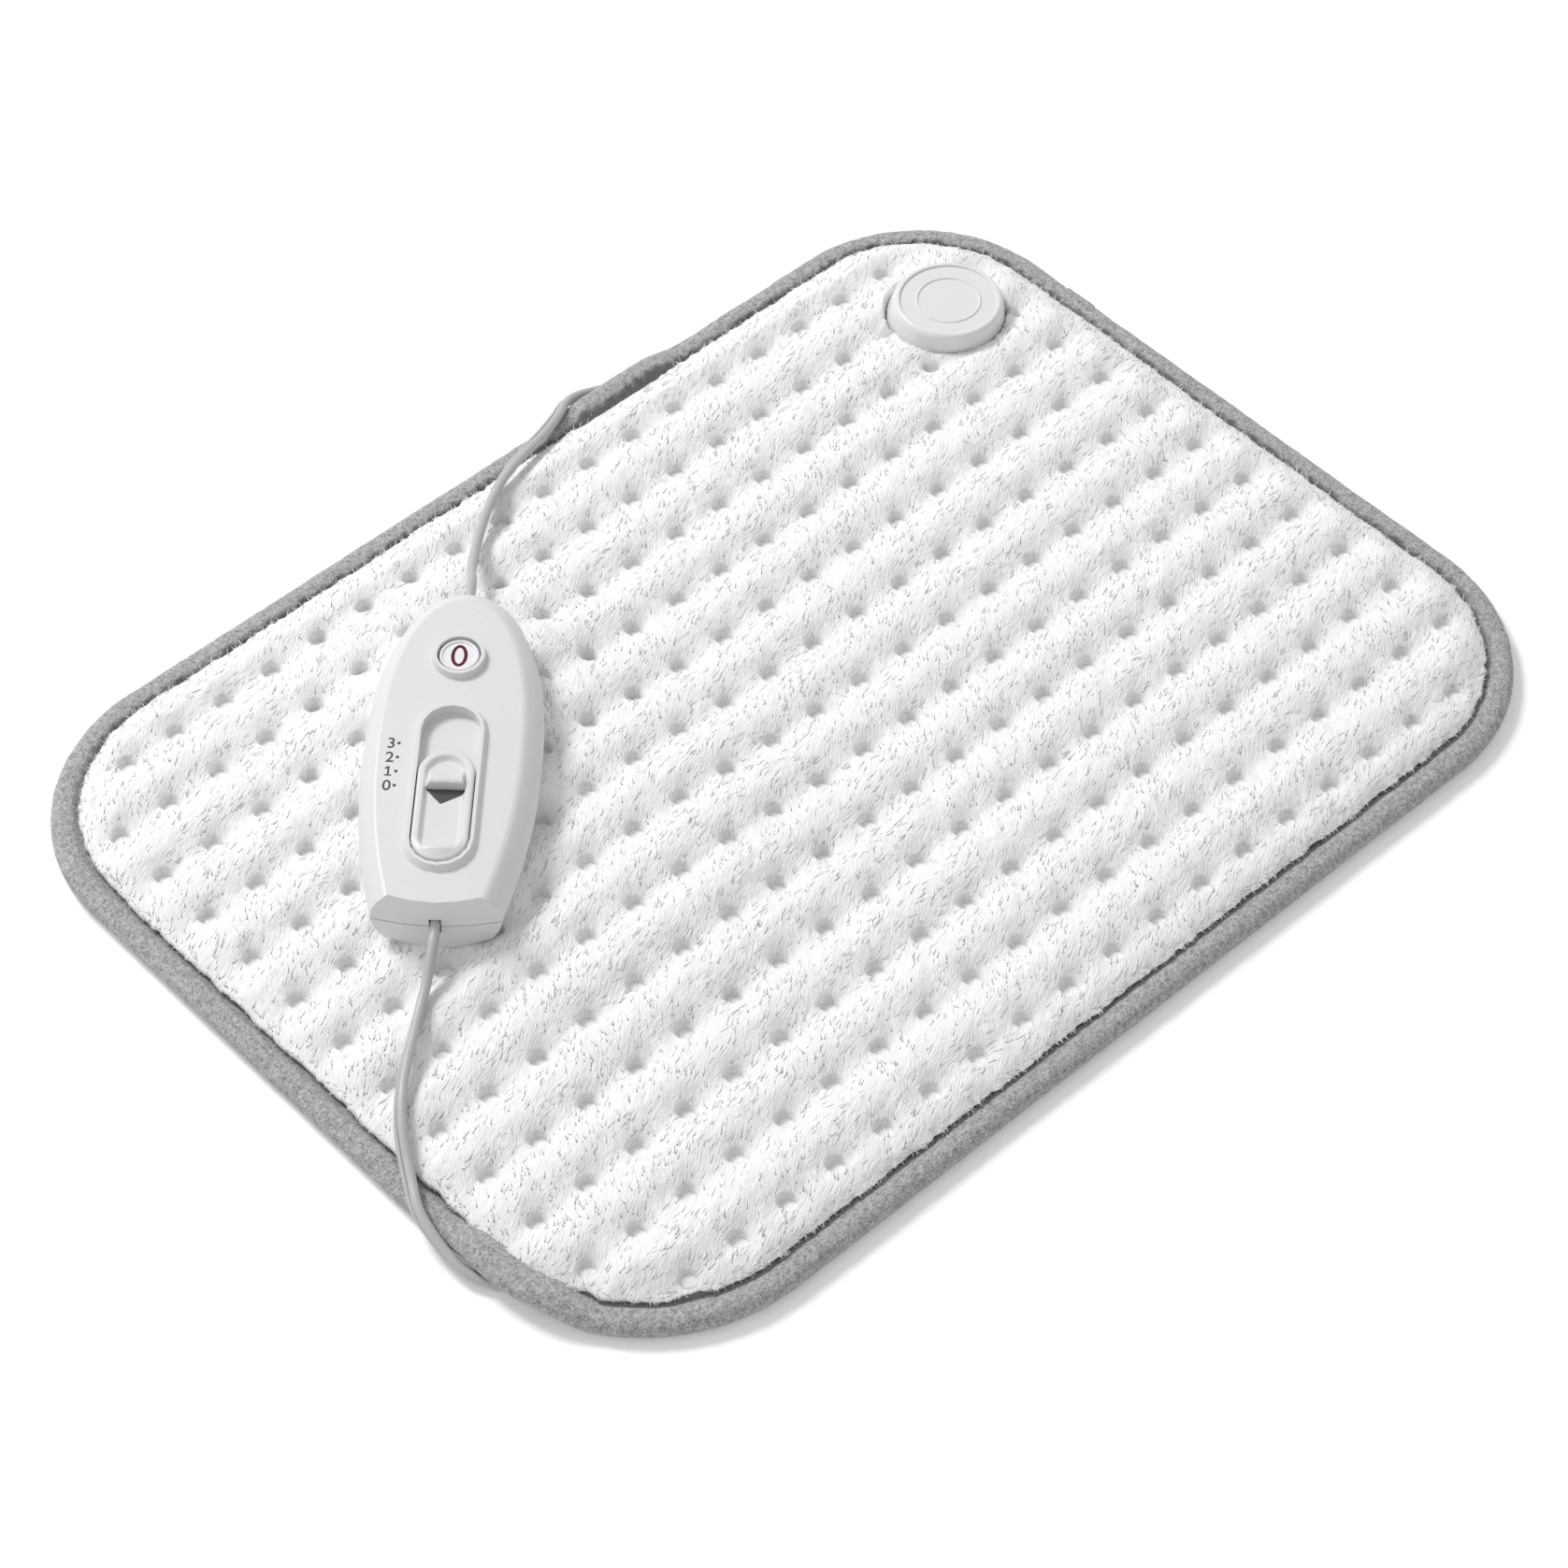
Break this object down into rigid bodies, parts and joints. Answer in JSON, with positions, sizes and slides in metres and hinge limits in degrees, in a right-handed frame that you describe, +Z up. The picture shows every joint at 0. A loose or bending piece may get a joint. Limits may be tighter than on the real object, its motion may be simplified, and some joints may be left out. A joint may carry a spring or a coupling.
{
  "type": "heating pad with controller",
  "caption": "Soft plush heating pad with a taped edge, a round corner coupling, and a wired slide controller with a heat-level window, flat flex and mains plug.",
  "frame": {"origin": "on the floor under the middle of the pad", "axes": "+X along the pad's long side towards the corner coupling, +Y across it towards the long side nearest that coupling, +Z up"},
  "size_m": [0.4436, 0.3331, 0.0437],
  "materials": {
    "plush": "long-pile white fleece with welded tufts",
    "backing": "smooth white nonwoven",
    "carrier": "thin needle felt",
    "wire_sheath": "silicone-coated heating wire",
    "tape": "mottled grey fleece tape",
    "gloss_white": "glossy white moulding",
    "housing_plastic": "satin white moulding",
    "brass": "plain brass",
    "window": "milky clear plastic",
    "steel": "plain zinc-plated steel",
    "board": "green resin board",
    "capacitor_film": "brown dipped film capacitor",
    "cord_pvc": "pale grey-white soft PVC",
    "tie_strap": "dark woven strap"
  },
  "bodies": {
    "pad": {"top_cover": "plush", "bottom_cover": "backing", "wire_carrier": "carrier", "heating_wire": "wire_sheath", "edge_binding": "tape", "socket_cap": "gloss_white", "socket_body": "housing_plastic", "contact_pin_left": "brass", "contact_pin_right": "brass", "cord_connector": "cord_pvc", "upper_housing": "housing_plastic", "lower_housing": "housing_plastic", "display_lens": "window", "display_light": "window", "detent_spring": "steel", "circuit_board": "board", "contact_strip": "brass", "fuse": "steel", "capacitor": "capacitor_film", "housing_screw_rear_1": "steel", "housing_screw_rear_2": "steel", "housing_screw_front_1": "steel", "housing_screw_front_2": "steel", "pad_cord_clamp": "housing_plastic", "mains_cord_clamp": "housing_plastic", "pad_cord": "cord_pvc", "mains_lead": "cord_pvc", "mains_coil": "cord_pvc", "plug_lead": "cord_pvc", "coil_tie": "tie_strap", "plug_body": "cord_pvc", "plug_pin_left": "brass", "plug_pin_right": "brass"},
    "slider": {"slider_knob": "housing_plastic", "slider_carriage": "housing_plastic", "wiper_contact": "brass"}
  },
  "joints": [
    {"name": "slider_travel", "type": "slide", "parent": "pad", "child": "slider", "axis": [0.7065, 0.7065, 0.0407], "range_m": [0, 0.018]}
  ]
}
